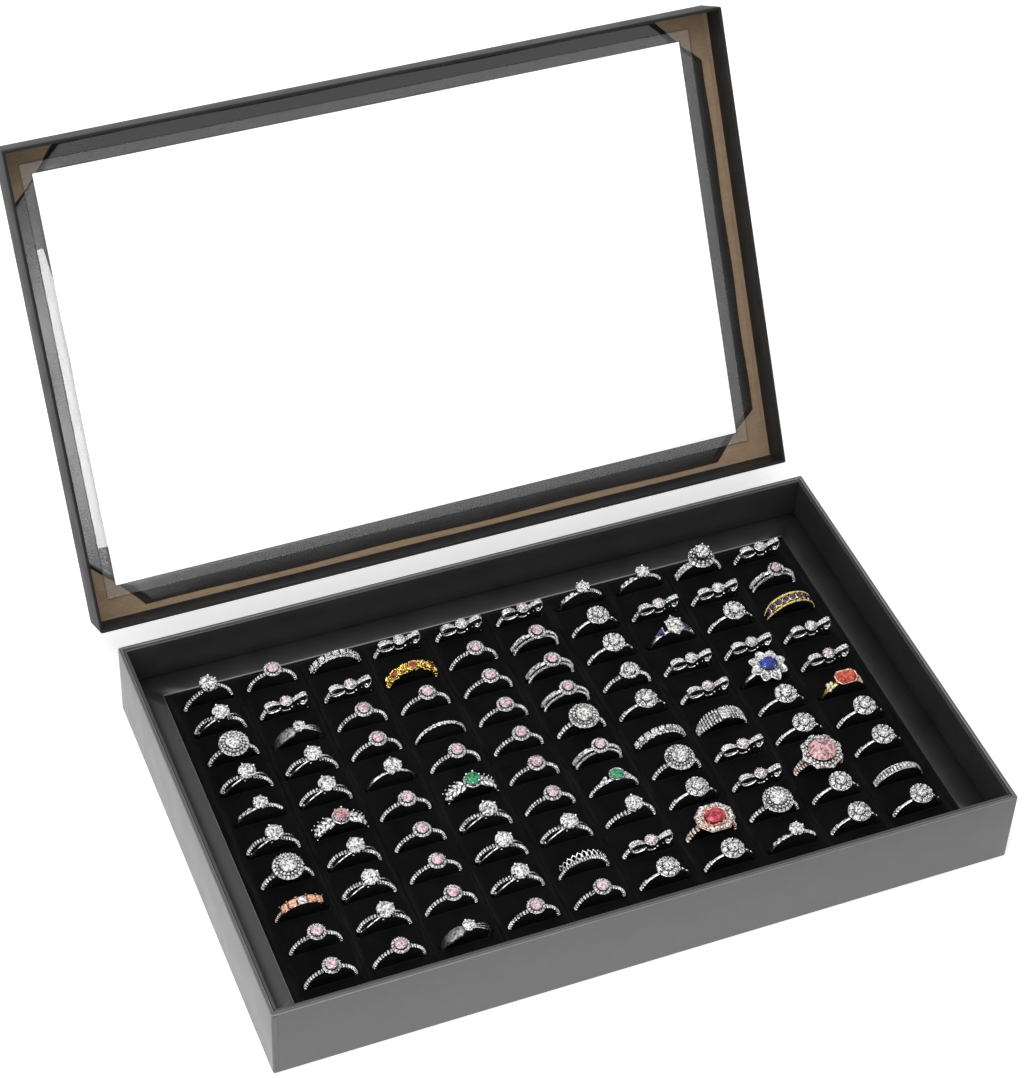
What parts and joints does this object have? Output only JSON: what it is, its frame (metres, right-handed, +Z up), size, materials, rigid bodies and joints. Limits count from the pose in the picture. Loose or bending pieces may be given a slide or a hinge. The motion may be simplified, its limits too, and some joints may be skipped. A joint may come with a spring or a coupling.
{
  "type": "ring display box",
  "caption": "Shallow wrapped board box with slotted velvet foam full of finger rings, and a telescoping lid with a clear window leaning open behind it.",
  "frame": {"origin": "on the table, under the middle of the base", "axes": "+X to the right, +Y to the back, +Z up"},
  "size_m": [0.3044, 0.3276, 0.1944],
  "materials": {
    "grey_board": "matte",
    "kraft_board": "matte",
    "stay_paper": "matte",
    "grained_paper": "satin, fine leather grain",
    "velvet_foam": "short velvet pile",
    "clear_sheet": "clear, glossy",
    "silver_plate": "polished",
    "gold_plate": "polished",
    "rose_plate": "polished"
  },
  "bodies": {
    "base": {"base_board": "grey_board", "base_corner_stays": "stay_paper", "base_wrap": "grained_paper", "base_bottom_sheet": "grained_paper", "collar_front": "grained_paper", "collar_back": "grained_paper", "collar_left": "grained_paper", "collar_right": "grained_paper", "ledge_front": "grained_paper", "ledge_back": "grained_paper", "ledge_left": "grained_paper", "ledge_right": "grained_paper", "insert_card": "grey_board", "ring_roll_01": "velvet_foam", "ring_roll_02": "velvet_foam", "ring_roll_03": "velvet_foam", "ring_roll_04": "velvet_foam", "ring_roll_05": "velvet_foam", "ring_roll_06": "velvet_foam", "ring_roll_07": "velvet_foam", "ring_roll_08": "velvet_foam", "ring_roll_09": "velvet_foam", "ring_roll_10": "velvet_foam", "rings_solitaire": "silver_plate", "rings_round_solitaire": "silver_plate", "ring_twisted_solitaire": "silver_plate", "ring_tiered_solitaire": "silver_plate", "rings_star_solitaire": "silver_plate", "rings_pink_halo": "silver_plate", "rings_cushion_halo": "silver_plate", "ring_double_halo": "rose_plate", "ring_heart_halo": "silver_plate", "rings_bow": "silver_plate", "rings_flower": "silver_plate", "ring_blue_flower": "silver_plate", "rings_plain_band": "silver_plate", "rings_leaf_vine": "silver_plate", "ring_gold_vine": "gold_plate", "rings_stone_band": "silver_plate", "ring_wavy_band": "silver_plate", "ring_scroll_band": "silver_plate", "ring_wide_band": "silver_plate", "ring_baguette_band": "silver_plate", "ring_sapphire_band": "gold_plate", "ring_rose_lattice": "rose_plate", "ring_marquise": "silver_plate", "ring_green_stone": "silver_plate", "ring_red_square": "rose_plate", "ring_octagon": "gold_plate"},
    "lid": {"lid_board": "kraft_board", "lid_corner_stays": "stay_paper", "lid_wrap": "grained_paper", "lid_window_sheet": "clear_sheet"}
  },
  "joints": [
    {"name": "lid_swing", "type": "hinge", "parent": "base", "child": "lid", "pos_m": [0, 0.1087, 0.01655], "axis": [1, 0, 0], "range_deg": [0, 120.9]}
  ]
}
